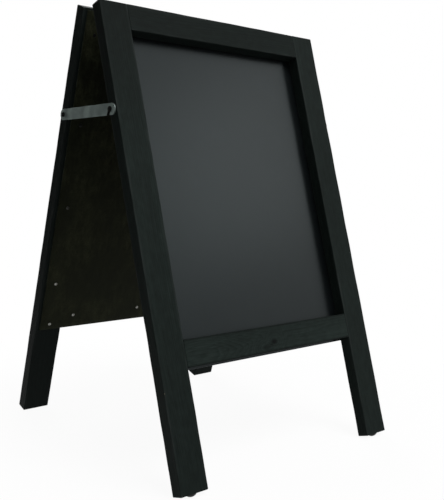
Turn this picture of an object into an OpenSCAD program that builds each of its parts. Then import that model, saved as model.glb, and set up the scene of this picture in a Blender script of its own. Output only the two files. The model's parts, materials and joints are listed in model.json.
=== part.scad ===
// A-board chalkboard: two framed panels hinged at the top and held apart by hooked side stays.
// Frame of the model: X across the board, Y from the front panel to the rear one, Z up from the floor.

/* [Board] */
// Overall width of each frame
frame_w = 650; // [480:5:900]
// Length of a stile, measured along the wood
stile_len = 1050; // [850:5:1300]
// Lean of each frame from upright, in degrees
lean = 17.75; // [13:0.25:22]
// Gap between the two frames when they are folded parallel
fold_gap = 34; // [22:1:50]

/* [Timber] */
// Width of a stile
stile_w = 70; // [60:1:90]
// Thickness of the stiles and rails
wood_t = 30; // [24:1:40]
// Height of the top rail
top_rail_h = 60; // [50:1:90]
// Height of the bottom rail
bottom_rail_h = 60; // [50:1:90]
// Bare leg below the bottom rail
leg_len = 250; // [120:1:320]
// Radius of the softened long edges of the timber
arris_r = 1.5; // [0.5:0.25:3]

/* [Dowels] */
// Diameter of the dowels that join rails and stiles
dowel_d = 10; // [8:1:12]
// Length of a dowel, half in the stile and half in the rail
dowel_len = 60; // [40:2:60]
// Distance between the two dowels of a joint
dowel_pitch = 30; // [24:1:34]
// Chamfer on the ends of a dowel
dowel_chamfer = 1; // [0.5:0.25:2]
// Glue space beyond each end of a dowel
dowel_end_space = 1; // [0.5:0.25:2]

/* [Chalk panel] */
// Thickness of the panel
panel_t = 3; // [2:0.5:5]
// Margin of bare stile beside the panel
panel_side_margin = 10; // [4:1:16]
// Margin of bare rail above the panel
panel_top_margin = 5; // [2:1:10]
// Drop of the panel below the bottom rail
panel_foot_drop = 5; // [0:1:10]

/* [Panel screws] */
// Diameter of the screw head
panel_head_d = 8; // [6:0.5:10]
// Height of the domed screw head
panel_head_h = 2.2; // [1.5:0.1:3]
// Diameter of the screw shank
panel_shank_d = 3.5; // [3:0.25:4]
// Length of the screw under its head
panel_screw_len = 12; // [9:1:14]
// Height of the lowest stile screw above the foot of the panel
corner_screw_rise = 16; // [8:1:20]
// Height of the first evenly spaced stile screw above the foot of the panel
stile_screw_rise = 131; // [60:1:160]
// Spacing of the stile screws
stile_screw_pitch = 206; // [120:1:260]
// Distance of the first rail screw from the side of the frame
rail_screw_start = 100; // [90:1:140]
// Spacing of the rail screws
rail_screw_pitch = 200; // [120:1:220]

/* [Hinges] */
// Distance from the side of the frame to the middle of a hinge
hinge_inset = 165; // [130:1:190]
// Length of a hinge along its pin
hinge_len = 76; // [60:1:100]
// Width of a leaf from the pin to its free edge
leaf_w = 38; // [36:1:44]
// Thickness of a leaf
leaf_t = 2; // [1.5:0.25:3]
// Outside diameter of the knuckles
knuckle_d = 8; // [7:0.25:10]
// Diameter of the hinge pin
hinge_pin_d = 4; // [3:0.25:5]
// Number of knuckles along the pin
knuckle_count = 5; // [3:2:7]
// Distance from the pin to the outer row of leaf screws
outer_screw_row = 31; // [30:0.5:32]
// Distance from the pin to the inner row of leaf screws
inner_screw_row = 25; // [23:0.5:27]
// Spacing of the leaf screws along the hinge
leaf_screw_pitch = 26; // [18:1:26]
// Diameter of the countersunk head of a leaf screw
leaf_head_d = 8; // [7:0.25:9]
// Diameter of the shank of a leaf screw
leaf_shank_d = 4; // [3.5:0.25:4.5]
// Length of a leaf screw below the top of its leaf
leaf_screw_len = 22; // [14:1:24]

/* [Stays] */
// Distance from the top of the stile down to the pivot screw
stay_drop = 244; // [180:1:360]
// Distance of the pivot screw from the inner face of the rear stile
pivot_inset = 15; // [10:0.5:18]
// Distance of the hook screw from the inner face of the front stile
hook_inset = 7; // [6.5:0.5:14]
// Height of the hook screw above the pivot screw
hook_lift = 5; // [0:0.5:10]
// Width of the flat bar
stay_w = 25; // [20:1:32]
// Thickness of the flat bar
stay_t = 3; // [2:0.5:5]
// Reach of the bar beyond the hook screw
stay_nose = 20; // [18:1:30]
// Running space between the bar and the side of a stile
stay_gap = 0.4; // [0.3:0.1:1]
// Clearance round the screw in the open slot
slot_clear = 0.6; // [0.5:0.1:1]

/* [Stay screws] */
// Diameter of the round head
stay_head_d = 10; // [9:0.5:13]
// Height of the round head
stay_head_h = 3.6; // [2.5:0.1:5]
// Diameter of the plain shank
stay_shank_d = 5; // [4:0.25:6]
// Length of the screw inside the stile
stay_screw_len = 28; // [20:1:28]

/* [Glides] */
// Diameter of the domed glide under a leg
glide_d = 26; // [18:1:28]
// Height of the glide's dome
glide_h = 7; // [4.5:0.25:9]
// Depth worn off the dome where it meets the floor
glide_wear = 0.5; // [0.4:0.1:0.8]
// Diameter of the nail that holds the glide
nail_d = 3; // [2:0.25:4]
// Length of the nail inside the leg
nail_len = 18; // [12:1:25]

/* [Hidden] */
$fn = 64;
// Radial clearance of a shaft that turns in its hole
running_fit = 0.08;
// Radial clearance of a dowel, screw or nail in the wood
wood_fit = 0.05;
// Space between knuckles, and between a knuckle and the leaf that faces it
knuckle_gap = 0.3;
// Radial clearance of a panel screw in the panel
panel_hole_clear = 0.3;
// Length of the pointed end of a wood screw or nail, in diameters
point_share = 1.2;
// Smallest distance from a screw to the end of the timber it holds
end_margin = 15;
// Thickness of the riveted rim on the ends of a hinge pin
pin_rim = 1;
// Overshoot of every cut beyond the face that it opens
over = 1;

// Half frame: drawn upright below the pin, inner face towards the pin, then leaned outwards
face_y = fold_gap / 2;
mid_y = face_y + wood_t / 2;
top_z = -knuckle_d / 2;
foot_z = top_z - stile_len;
stile_x = (frame_w - stile_w) / 2;
rail_len = frame_w - 2 * stile_w;
bottom_rail_z = foot_z + leg_len;

// The glide is a cap of this sphere, and the worn flats of the four glides lie on the floor
glide_ball_r = (pow(glide_d / 2, 2) + pow(glide_h, 2)) / (2 * glide_h);
glide_ball_z = foot_z + glide_ball_r - glide_h;
pin_z = glide_ball_r - glide_wear - mid_y * sin(lean) - glide_ball_z * cos(lean);

// Chalk panel and its screws
panel_w = frame_w - 2 * panel_side_margin;
panel_foot_z = bottom_rail_z - panel_foot_drop;
panel_h = top_z - panel_top_margin - panel_foot_z;
panel_face_y = face_y - panel_t;
stile_screw_count = floor((panel_h - end_margin - stile_screw_rise) / stile_screw_pitch) + 1;
stile_screw_z = concat(
    [panel_foot_z + corner_screw_rise],
    [for (i = [0 : stile_screw_count - 1]) panel_foot_z + stile_screw_rise + i * stile_screw_pitch]);
rail_screw_room = frame_w - stile_w - end_margin - rail_screw_start;
rail_screw_count = floor(rail_screw_room / rail_screw_pitch) + 1;
rail_screw_x = [for (i = [0 : rail_screw_count - 1])
    rail_screw_start + i * rail_screw_pitch - frame_w / 2];
top_rail_mid_z = top_z - top_rail_h / 2;
bottom_rail_mid_z = bottom_rail_z + bottom_rail_h / 2;

// Hinges lie on the tops of the frames with the pin over the gap between them
hinge_x = frame_w / 2 - hinge_inset;
knuckle_len = (hinge_len - (knuckle_count - 1) * knuckle_gap) / knuckle_count;
knuckle_step = knuckle_len + knuckle_gap;
leaf_screws = [for (i = [-1 : 1]) [i * leaf_screw_pitch, i == 0 ? inner_screw_row : outer_screw_row]];

// Stay: nearly level at rest, rising a little from the pivot screw to the hook screw
pivot_out = face_y + pivot_inset;
hook_out = face_y + hook_inset;
pivot_down = -top_z + stay_drop;
pivot_y = pivot_out * cos(lean) + pivot_down * sin(lean);
pivot_rise = pivot_out * sin(lean) - pivot_down * cos(lean);
hook_rise = pivot_rise + hook_lift;
hook_down = (hook_out * sin(lean) - hook_rise) / cos(lean);
hook_y = hook_out * cos(lean) + hook_down * sin(lean);
stay_span = norm([pivot_y + hook_y, hook_lift]);
stay_tilt = asin(hook_lift / stay_span);
// Turn of the stay for each degree of fold, which lays it along the rear stile when folded
stay_ratio = (90 - lean - stay_tilt) / (2 * lean);
// The slot points along the way that the hook screw takes to the edge of the bar as the fold begins
function turned(p, angle) = [
    p[0] * cos(angle) - p[1] * sin(angle),
    p[0] * sin(angle) + p[1] * cos(angle)];
function hook_in_stay(fold) =
    turned(turned([-hook_y, hook_rise], fold) - [pivot_y, pivot_rise], stay_ratio * fold + stay_tilt);
mouth_fold = stay_w / 2 / (hook_y + stay_span * stay_ratio) * 180 / PI;
hook_way = hook_in_stay(mouth_fold) - hook_in_stay(0);
slot_angle = atan2(hook_way[0], -hook_way[1]);
slot_w = stay_shank_d + 2 * slot_clear;
stay_x = frame_w / 2 + stay_gap;

wood_black = [0.10, 0.10, 0.11];
beech_pale = [0.76, 0.62, 0.44];
slate_black = [0.20, 0.22, 0.23];
zinc_grey = [0.62, 0.65, 0.62];
steel_bright = [0.75, 0.75, 0.73];
glide_black = [0.05, 0.05, 0.05];

// Leans an upright half frame out from the pin: rear half as drawn, front half mirrored
module lean_rear() {
    translate([0, 0, pin_z]) rotate([lean, 0, 0]) children();
}
module lean_front() {
    translate([0, 0, pin_z]) mirror([0, 1, 0]) rotate([lean, 0, 0]) children();
}

// Section of a board with softened edges, centred on the origin
module board_section(a, b) {
    square([a - 2 * arris_r, b], center = true);
    square([a, b - 2 * arris_r], center = true);
    for (i = [-1, 1], j = [-1, 1])
        translate([i * (a / 2 - arris_r), j * (b / 2 - arris_r)]) circle(arris_r);
}

// Shaft along +X from the origin with a pointed far end
module pointed_shaft(r, len) {
    point = 2 * r * point_share;
    rotate([0, 90, 0]) {
        cylinder(r = r, h = len - point);
        translate([0, 0, len - point]) cylinder(r1 = r, r2 = r / 6, h = point);
    }
}

// Hole along +X for a shaft, opened below its mouth
module shaft_hole(r, len) {
    translate([-over, 0, 0]) rotate([0, 90, 0]) cylinder(r = r + wood_fit, h = len + over);
}

// Domed head of a given radius and height, its flat underside on the YZ plane, dome towards -X
module domed_head(r, h) {
    ball = (r * r + h * h) / (2 * h);
    intersection() {
        translate([ball - h, 0, 0]) sphere(ball);
        rotate([0, -90, 0]) cylinder(r = r, h = h);
    }
}

// Heights of the dowels of a rail with its middle at z
function dowel_zs(z) = [z - dowel_pitch / 2, z + dowel_pitch / 2];
all_dowel_z = concat(dowel_zs(top_rail_mid_z), dowel_zs(bottom_rail_mid_z));

// Places children at every dowel joint on one side, +X pointing along the dowel
module at_dowels(side, zs) {
    for (z = zs) translate([side * (frame_w / 2 - stile_w), mid_y, z]) children();
}

module dowel_bores(side, zs) {
    half = dowel_len / 2 + dowel_end_space;
    at_dowels(side, zs)
        rotate([0, 90, 0]) cylinder(d = dowel_d + 2 * wood_fit, h = 2 * half, center = true);
}

module dowels() {
    for (side = [-1, 1]) at_dowels(side, all_dowel_z) rotate([0, 90, 0]) {
        cylinder(d = dowel_d, h = dowel_len - 2 * dowel_chamfer, center = true);
        for (end = [0, 1]) mirror([0, 0, end])
            translate([0, 0, dowel_len / 2 - dowel_chamfer])
                cylinder(d1 = dowel_d, d2 = dowel_d - 2 * dowel_chamfer, h = dowel_chamfer);
    }
}

// Places children at panel screws, +X pointing from the back of the panel into the wood
module at_panel_screws(xs, zs) {
    for (x = xs, z = zs) translate([x, panel_face_y, z]) rotate([0, 0, 90]) children();
}

module panel_screw_holes(xs, zs, r) {
    at_panel_screws(xs, zs) shaft_hole(r, panel_screw_len);
}

module panel_screws() {
    module screw() {
        domed_head(panel_head_d / 2, panel_head_h);
        pointed_shaft(panel_shank_d / 2, panel_screw_len);
    }
    at_panel_screws([-stile_x, stile_x], stile_screw_z) screw();
    at_panel_screws(rail_screw_x, [top_rail_mid_z, bottom_rail_mid_z]) screw();
}

// Places children at a side screw of a stile, +X pointing from the side face into the wood
module at_side_screw(side, out, down) {
    translate([side * frame_w / 2, out, -down]) rotate([0, 0, side > 0 ? 180 : 0]) children();
}

module stile(side, screw_out, screw_down) {
    difference() {
        translate([side * stile_x, mid_y, foot_z])
            linear_extrude(stile_len) board_section(stile_w, wood_t);
        dowel_bores(side, all_dowel_z);
        panel_screw_holes([side * stile_x], stile_screw_z, panel_shank_d / 2);
        at_side_screw(side, screw_out, screw_down) shaft_hole(stay_shank_d / 2, stay_screw_len);
        translate([side * stile_x, mid_y, foot_z])
            rotate([0, -90, 0]) shaft_hole(nail_d / 2, nail_len);
    }
}

// Rail between the stiles, with its lower edge at z
module rail(z, h) {
    translate([-rail_len / 2, mid_y, z + h / 2])
        rotate([90, 0, 90]) linear_extrude(rail_len) board_section(wood_t, h);
}

module top_rail() {
    difference() {
        rail(top_z - top_rail_h, top_rail_h);
        for (side = [-1, 1]) dowel_bores(side, dowel_zs(top_rail_mid_z));
        panel_screw_holes(rail_screw_x, [top_rail_mid_z], panel_shank_d / 2);
        at_leaf_screws() shaft_hole(leaf_shank_d / 2, leaf_screw_len);
    }
}

module bottom_rail() {
    difference() {
        rail(bottom_rail_z, bottom_rail_h);
        for (side = [-1, 1]) dowel_bores(side, dowel_zs(bottom_rail_mid_z));
        panel_screw_holes(rail_screw_x, [bottom_rail_mid_z], panel_shank_d / 2);
    }
}

module chalk_panel() {
    hole_r = panel_shank_d / 2 + panel_hole_clear;
    difference() {
        translate([-panel_w / 2, panel_face_y, panel_foot_z]) cube([panel_w, panel_t, panel_h]);
        panel_screw_holes([-stile_x, stile_x], stile_screw_z, hole_r);
        panel_screw_holes(rail_screw_x, [top_rail_mid_z, bottom_rail_mid_z], hole_r);
    }
}

// Places children at the leaf screws of both hinges, +X pointing down from the top of the leaf
module at_leaf_screws() {
    for (side = [-1, 1], s = leaf_screws)
        translate([side * hinge_x + s[0], s[1], top_z + leaf_t]) rotate([0, 90, 0]) children();
}

// Countersunk head with its flat top on the YZ plane, narrowing to the shank along +X
module countersink(grow) {
    depth = min(leaf_t, (leaf_head_d - leaf_shank_d) / 2);
    rotate([0, 90, 0])
        cylinder(r1 = leaf_head_d / 2 + grow, r2 = leaf_shank_d / 2 + grow, h = depth);
}

module leaf_screw_set() {
    at_leaf_screws() {
        countersink(0);
        pointed_shaft(leaf_shank_d / 2, leaf_screw_len);
    }
}

// Middle of knuckle i along the pin
function knuckle_x(i) = (i - (knuckle_count - 1) / 2) * knuckle_step;

// One leaf of a hinge: even knuckles belong to the front leaf, odd ones to the rear leaf
module leaf(side, parity) {
    own = [for (i = [0 : knuckle_count - 1]) if (i % 2 == parity) i];
    other = [for (i = [0 : knuckle_count - 1]) if (i % 2 != parity) i];
    clear_r = knuckle_d / 2 + knuckle_gap;
    difference() {
        union() {
            difference() {
                translate([side * hinge_x - hinge_len / 2, 0, top_z]) cube([hinge_len, leaf_w, leaf_t]);
                for (i = other) translate([side * hinge_x + knuckle_x(i), 0, 0])
                    rotate([0, 90, 0])
                        cylinder(r = clear_r, h = knuckle_len + 2 * knuckle_gap, center = true);
            }
            for (i = own) translate([side * hinge_x + knuckle_x(i), 0, 0])
                rotate([0, 90, 0]) cylinder(d = knuckle_d, h = knuckle_len, center = true);
        }
        translate([side * hinge_x, 0, 0]) rotate([0, 90, 0])
            cylinder(r = hinge_pin_d / 2 + running_fit, h = hinge_len + 2 * over, center = true);
        at_leaf_screws() {
            countersink(wood_fit);
            shaft_hole(leaf_shank_d / 2, leaf_screw_len);
        }
    }
}

// Pin with a riveted rim on each end
module hinge_pin(side) {
    translate([side * hinge_x, 0, pin_z]) rotate([0, 90, 0]) {
        cylinder(d = hinge_pin_d, h = hinge_len + 2 * pin_rim, center = true);
        for (end = [0, 1]) mirror([0, 0, end]) translate([0, 0, hinge_len / 2])
            cylinder(r1 = hinge_pin_d / 2 + pin_rim, r2 = hinge_pin_d / 2, h = pin_rim);
    }
}

// Outline of the bar about its pivot, with -X towards the hook screw
module stay_outline() {
    end_r = stay_w / 2;
    straight = stay_span + stay_nose - end_r;
    difference() {
        union() {
            circle(end_r);
            translate([-straight, 0]) circle(end_r);
            translate([-straight, -end_r]) square([straight, stay_w]);
        }
        translate([-stay_span, 0]) {
            circle(slot_w / 2);
            rotate(slot_angle) translate([-slot_w / 2, -stay_w]) square([slot_w, stay_w]);
        }
    }
}

module stay_bar(side) {
    color(zinc_grey) translate([side * (stay_x + stay_t / 2), pivot_y, pin_z + pivot_rise])
        rotate([90, 0, 90]) rotate(-stay_tilt) difference() {
            linear_extrude(stay_t, center = true) stay_outline();
            cylinder(r = stay_shank_d / 2 + running_fit, h = stay_t + 2 * over, center = true);
        }
}

// Round-headed screw through a stay, its head just clear of the bar
module stay_screw(side, out, down) {
    color(steel_bright) at_side_screw(side, out, down) {
        translate([-2 * stay_gap - stay_t, 0, 0]) {
            domed_head(stay_head_d / 2, stay_head_h);
            pointed_shaft(stay_shank_d / 2, stay_screw_len + stay_t + 2 * stay_gap);
        }
    }
}

// Domed glide with its nail, in the place of an upright half frame
module glide_form(side) {
    translate([side * stile_x, mid_y, foot_z]) rotate([0, -90, 0]) {
        domed_head(glide_d / 2, glide_h);
        pointed_shaft(nail_d / 2, nail_len);
    }
}

// Keeps what stands on or above the floor
module above_floor() {
    deep = 2 * glide_h;
    wide = 2 * (frame_w + stile_len);
    difference() {
        children();
        translate([-wide / 2, -wide / 2, -deep]) cube([wide, wide, deep]);
    }
}

module front_stile_left() {
    color(wood_black) lean_front() stile(-1, hook_out, hook_down);
}
module front_stile_right() {
    color(wood_black) lean_front() stile(1, hook_out, hook_down);
}
module front_top_rail() {
    color(wood_black) lean_front() top_rail();
}
module front_bottom_rail() {
    color(wood_black) lean_front() bottom_rail();
}
module front_dowels() {
    color(beech_pale) lean_front() dowels();
}
module front_chalk_panel() {
    color(slate_black) lean_front() chalk_panel();
}
module front_panel_screws() {
    color(steel_bright) lean_front() panel_screws();
}
module front_glide_left() {
    color(glide_black) above_floor() lean_front() glide_form(-1);
}
module front_glide_right() {
    color(glide_black) above_floor() lean_front() glide_form(1);
}

module rear_stile_left() {
    color(wood_black) lean_rear() stile(-1, pivot_out, pivot_down);
}
module rear_stile_right() {
    color(wood_black) lean_rear() stile(1, pivot_out, pivot_down);
}
module rear_top_rail() {
    color(wood_black) lean_rear() top_rail();
}
module rear_bottom_rail() {
    color(wood_black) lean_rear() bottom_rail();
}
module rear_dowels() {
    color(beech_pale) lean_rear() dowels();
}
module rear_chalk_panel() {
    color(slate_black) lean_rear() chalk_panel();
}
module rear_panel_screws() {
    color(steel_bright) lean_rear() panel_screws();
}
module rear_glide_left() {
    color(glide_black) above_floor() lean_rear() glide_form(-1);
}
module rear_glide_right() {
    color(glide_black) above_floor() lean_rear() glide_form(1);
}

module hinge_left_front_leaf() {
    color(zinc_grey) lean_front() leaf(-1, 0);
}
module hinge_left_rear_leaf() {
    color(zinc_grey) lean_rear() leaf(-1, 1);
}
module hinge_left_pin() {
    color(steel_bright) hinge_pin(-1);
}
module hinge_right_front_leaf() {
    color(zinc_grey) lean_front() leaf(1, 0);
}
module hinge_right_rear_leaf() {
    color(zinc_grey) lean_rear() leaf(1, 1);
}
module hinge_right_pin() {
    color(steel_bright) hinge_pin(1);
}
module front_hinge_screws() {
    color(steel_bright) lean_front() leaf_screw_set();
}
module rear_hinge_screws() {
    color(steel_bright) lean_rear() leaf_screw_set();
}

module stay_left_bar() {
    stay_bar(-1);
}
module stay_left_pivot_screw() {
    lean_rear() stay_screw(-1, pivot_out, pivot_down);
}
module stay_left_hook_screw() {
    lean_front() stay_screw(-1, hook_out, hook_down);
}
module stay_right_bar() {
    stay_bar(1);
}
module stay_right_pivot_screw() {
    lean_rear() stay_screw(1, pivot_out, pivot_down);
}
module stay_right_hook_screw() {
    lean_front() stay_screw(1, hook_out, hook_down);
}

front_stile_left();
front_stile_right();
front_top_rail();
front_bottom_rail();
front_dowels();
front_chalk_panel();
front_panel_screws();
front_glide_left();
front_glide_right();
rear_stile_left();
rear_stile_right();
rear_top_rail();
rear_bottom_rail();
rear_dowels();
rear_chalk_panel();
rear_panel_screws();
rear_glide_left();
rear_glide_right();
hinge_left_front_leaf();
hinge_left_rear_leaf();
hinge_left_pin();
hinge_right_front_leaf();
hinge_right_rear_leaf();
hinge_right_pin();
front_hinge_screws();
rear_hinge_screws();
stay_left_bar();
stay_left_pivot_screw();
stay_left_hook_screw();
stay_right_bar();
stay_right_pivot_screw();
stay_right_hook_screw();
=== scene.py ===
import json
import math
import bmesh
import bpy
import numpy as np
from mathutils import Matrix, Vector


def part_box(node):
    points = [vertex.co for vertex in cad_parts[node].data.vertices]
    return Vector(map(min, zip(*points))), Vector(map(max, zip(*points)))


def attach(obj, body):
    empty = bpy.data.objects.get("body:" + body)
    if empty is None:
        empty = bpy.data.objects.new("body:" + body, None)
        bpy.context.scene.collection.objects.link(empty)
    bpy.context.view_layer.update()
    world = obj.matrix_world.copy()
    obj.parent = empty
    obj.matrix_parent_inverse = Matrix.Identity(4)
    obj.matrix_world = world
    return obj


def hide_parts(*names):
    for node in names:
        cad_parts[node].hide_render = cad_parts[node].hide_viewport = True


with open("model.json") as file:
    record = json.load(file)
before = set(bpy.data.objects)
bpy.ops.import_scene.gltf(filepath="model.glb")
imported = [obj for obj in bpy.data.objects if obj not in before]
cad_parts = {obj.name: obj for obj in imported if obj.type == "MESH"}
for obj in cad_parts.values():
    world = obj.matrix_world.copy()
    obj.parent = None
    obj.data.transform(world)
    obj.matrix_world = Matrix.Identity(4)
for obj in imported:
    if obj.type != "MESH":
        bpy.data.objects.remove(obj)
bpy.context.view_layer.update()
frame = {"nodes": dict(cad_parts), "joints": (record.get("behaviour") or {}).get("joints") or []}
print("frame loaded:", len(frame["nodes"]), "CAD nodes")

# Each half of the board is drawn upright in mm, hanging from the hinge pin, with x across, y from the pin
# to the outer face and z up from the pin. The lean then swings it out about the pin.
pinPlace = next(joint["pos_m"] for joint in frame["joints"] if joint["name"] == "fold")
halfFrame = {
    "leanDegrees": 17.75, "pinHeight": 1000 * pinPlace[2], "footZ": -1054.0,
    "innerY": 17.0, "outerY": 47.0,  # the faces of the timber
}
leanCos = math.cos(math.radians(halfFrame["leanDegrees"]))
leanSin = math.sin(math.radians(halfFrame["leanDegrees"]))
sides = {"front": -1.0, "rear": 1.0}


def leanInto(points, side):  # turn about the pin by the lean, mirror the y of the front half, mm to metres
    x, y, z = points[..., 0], points[..., 1], points[..., 2]
    turned = np.stack([x, side * (y * leanCos - z * leanSin), halfFrame["pinHeight"] + y * leanSin + z * leanCos], -1)
    return turned / 1000


def gridFaces(rows, columns):  # quads of a grid whose columns close on themselves, rows running upwards
    r, c = np.meshgrid(np.arange(rows - 1), np.arange(columns), indexing="ij")
    n = (c + 1) % columns
    return np.stack([r * columns + c, r * columns + n, (r + 1) * columns + n, (r + 1) * columns + c], -1).reshape(-1, 4)


def joinShapes(shapes):  # several (points, faces) one after another
    points, faces, start = [], [], 0
    for somePoints, someFaces in shapes:
        points.append(somePoints)
        faces += [tuple(int(i) + start for i in face) for face in someFaces]
        start += len(somePoints)
    return np.concatenate(points), faces


def turnedShape(profile, around, place, axis, dent=None):
    # a profile of (radius, height) turned about the axis through place; dent lowers the head where its drive is cut
    profile = np.asarray(profile, float)
    angles = np.linspace(0, 2 * np.pi, around, endpoint=False)
    radius, height = profile[:, :1] * np.ones(around), profile[:, 1:] * np.ones(around)
    flatX, flatY = radius * np.cos(angles), radius * np.sin(angles)
    if dent is not None:
        height = height - dent(flatX, flatY, height)
    axis = np.asarray(axis, float) / np.linalg.norm(axis)
    across = np.cross(axis, (1.0, 0, 0) if abs(axis[0]) < 0.9 else (0, 0, 1.0))
    across /= np.linalg.norm(across)
    other = np.cross(axis, across)
    points = np.asarray(place, float) + flatX[..., None] * across + flatY[..., None] * other + height[..., None] * axis
    return points.reshape(-1, 3), gridFaces(len(profile), around)


mergeWithin = 2e-6  # metres; points nearer than this are one
hardEdge = 40       # degrees between two faces of a CAD node that meet in a hard edge


def addObject(name, data):
    added = bpy.data.objects.new(name, data)
    bpy.context.scene.collection.objects.link(added)
    return added


def addDressed(mesh, sharpAngle, body, node):
    # smooth but for edges sharper than the angle, and into the scene on its body in place of the CAD node
    mesh.polygons.foreach_set("use_smooth", np.ones(len(mesh.polygons), bool))
    mesh.set_sharp_from_angle(angle=math.radians(sharpAngle))
    piece = addObject(mesh.name, mesh)
    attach(piece, body)
    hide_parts(node)
    return piece


def addPiece(name, points, faces, body, node, materials, attributes=None, inks=None, sharpAngle=38.0):
    # points in metres; doubles merged so poles and seams close, then faces turned outwards
    mesh = bpy.data.meshes.new(name)
    mesh.from_pydata(points.tolist(), [], [tuple(int(i) for i in face) for face in faces])
    for label, values in (attributes or {}).items():
        values = np.asarray(values, np.float32)
        kind, key = ("FLOAT_VECTOR", "vector") if values.ndim == 2 else ("FLOAT", "value")
        mesh.attributes.new(label, kind, "POINT").data.foreach_set(key, values.ravel())
    if inks is not None:
        mesh.polygons.foreach_set("material_index", np.asarray(inks, np.int32))
    work = bmesh.new()
    work.from_mesh(mesh)
    bmesh.ops.remove_doubles(work, verts=work.verts, dist=mergeWithin)
    bmesh.ops.recalc_face_normals(work, faces=work.faces)
    work.to_mesh(mesh)
    work.free()
    for material in materials:
        mesh.materials.append(material)
    return addDressed(mesh, sharpAngle, body, node)


def softenedCopy(node, width, segments, material, slotName, body):
    # the CAD node's own shape, its loose triangles merged and its flats cleared, with every hard edge rounded off
    mesh = frame["nodes"][node].data.copy()
    mesh.name = node + "_dressed"
    work = bmesh.new()
    work.from_mesh(mesh)
    bmesh.ops.remove_doubles(work, verts=work.verts, dist=mergeWithin)
    bmesh.ops.dissolve_limit(work, angle_limit=math.radians(1.0), verts=work.verts, edges=work.edges)
    work.to_mesh(mesh)
    work.free()
    mesh.materials.clear()
    mesh.materials.append(material)
    mesh.polygons.foreach_set("material_index", np.zeros(len(mesh.polygons), np.int32))
    piece = addDressed(mesh, hardEdge, body, node)
    bevel = piece.modifiers.new("rounded edges", "BEVEL")
    bevel.width, bevel.segments, bevel.limit_method = width / 1000, segments, "ANGLE"
    bevel.angle_limit, bevel.harden_normals = math.radians(hardEdge), True
    return piece


def tint(hexColour):  # sRGB hex to linear
    parts = [int(hexColour[i:i + 2], 16) / 255 for i in (1, 3, 5)]
    return tuple(p / 12.92 if p <= 0.04045 else ((p + 0.055) / 1.055) ** 2.4 for p in parts) + (1.0,)


def outOf(source):  # a node stands for its first output
    return source.outputs[0] if hasattr(source, "outputs") else source


def addNode(tree, kind, settings=None, links=None):
    # a setting is the stops of a ramp, a property of the node, or else a socket by its name or place
    node = tree.nodes.new("ShaderNode" + kind)
    sockets = {}
    for key, value in (settings or {}).items():
        if key == "stops":  # position and hex colour of each
            ramp = node.color_ramp
            while len(ramp.elements) < len(value):
                ramp.elements.new(0.5)
            for element, (position, colour) in zip(ramp.elements, value):
                element.position, element.color = position, tint(colour)
        elif isinstance(key, str) and hasattr(node, key):
            setattr(node, key, value)
        else:
            sockets[key] = value
    for key, value in sockets.items():
        node.inputs[key].default_value = value
    for socket, source in (links or {}).items():
        tree.links.new(outOf(source), node.inputs[socket])
    return node


def newMaterial(name, constants):
    material = bpy.data.materials.new(name)
    material.use_nodes = True
    tree = material.node_tree
    shader = tree.nodes["Principled BSDF"]
    for socket, value in constants.items():
        shader.inputs[socket].default_value = value
    return material, tree, shader


def dress(tree, shader, colour, sheen, height, look, low=0.3, high=0.7):
    # the colour into the shader, the sheen's noise from low to high as roughness, and the height as relief
    roughLow, roughHigh = look["roughness"]
    roughness = addNode(tree, "MapRange", {1: low, 2: high, 3: roughLow, 4: roughHigh}, {0: sheen})
    bump = addNode(tree, "Bump", {"Strength": look["bump"], "Distance": look["depth"] / 1000}, {"Height": height})
    for socket, source in (("Base Color", colour), ("Roughness", roughness), ("Normal", bump)):
        tree.links.new(outOf(source), shader.inputs[socket])


def cells(size):  # noise cells in a metre for marks of that size in mm
    return 1000 / size


# Sizes in the finishes below are in mm. A pair named for light or roughness is what the low and the high end of the
# noise give, and light multiplies the colour. Bump is the strength of the relief and depth its height.
timberFinish = {
    "ringSpacing": 3.2,      # between growth rings of plantation pine
    "fibreWidth": 1.2,       # real fibres are finer, drawn coarse enough to show
    "fibreRun": 80,          # times as long as they are wide
    "slowRun": 0.12, "brushRun": 0.4, "rubRun": 0.2,  # marks drawn out along the board: the smaller, the longer
    "waver": 35.7, "waverReach": 9.0,           # how long and how far the rings waver
    "stainSize": 90.9, "blotchSize": 8.333, "rubSize": 16.67, "splinterSize": 1.4286,
    "early": "#181e1c", "middle": "#161c1a", "late": "#131917",
    "knot": "#040505", "rubbed": "#343938", "bareWood": "#6f6a5c",
    "fibreLight": (0.75, 1.28), "blotchLight": (0.84, 1.16), "stainLight": (0.82, 1.18), "rubShare": (0.05, 0.6),
    "knotSwell": 0.22, "knotReach": 32.0,       # how much and how far round it a knot spreads the rings
    "knotCore": (4.0, 9.5),                     # from all black to none
    "chipSize": (1.4, 1.9), "chipRagged": 1.2,  # from all bare to none, and how far the edge strays
    "roughness": (0.5, 0.68), "bump": 0.3, "depth": 0.3, "ringRelief": 0.2, "specular": 0.045,
}


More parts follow.
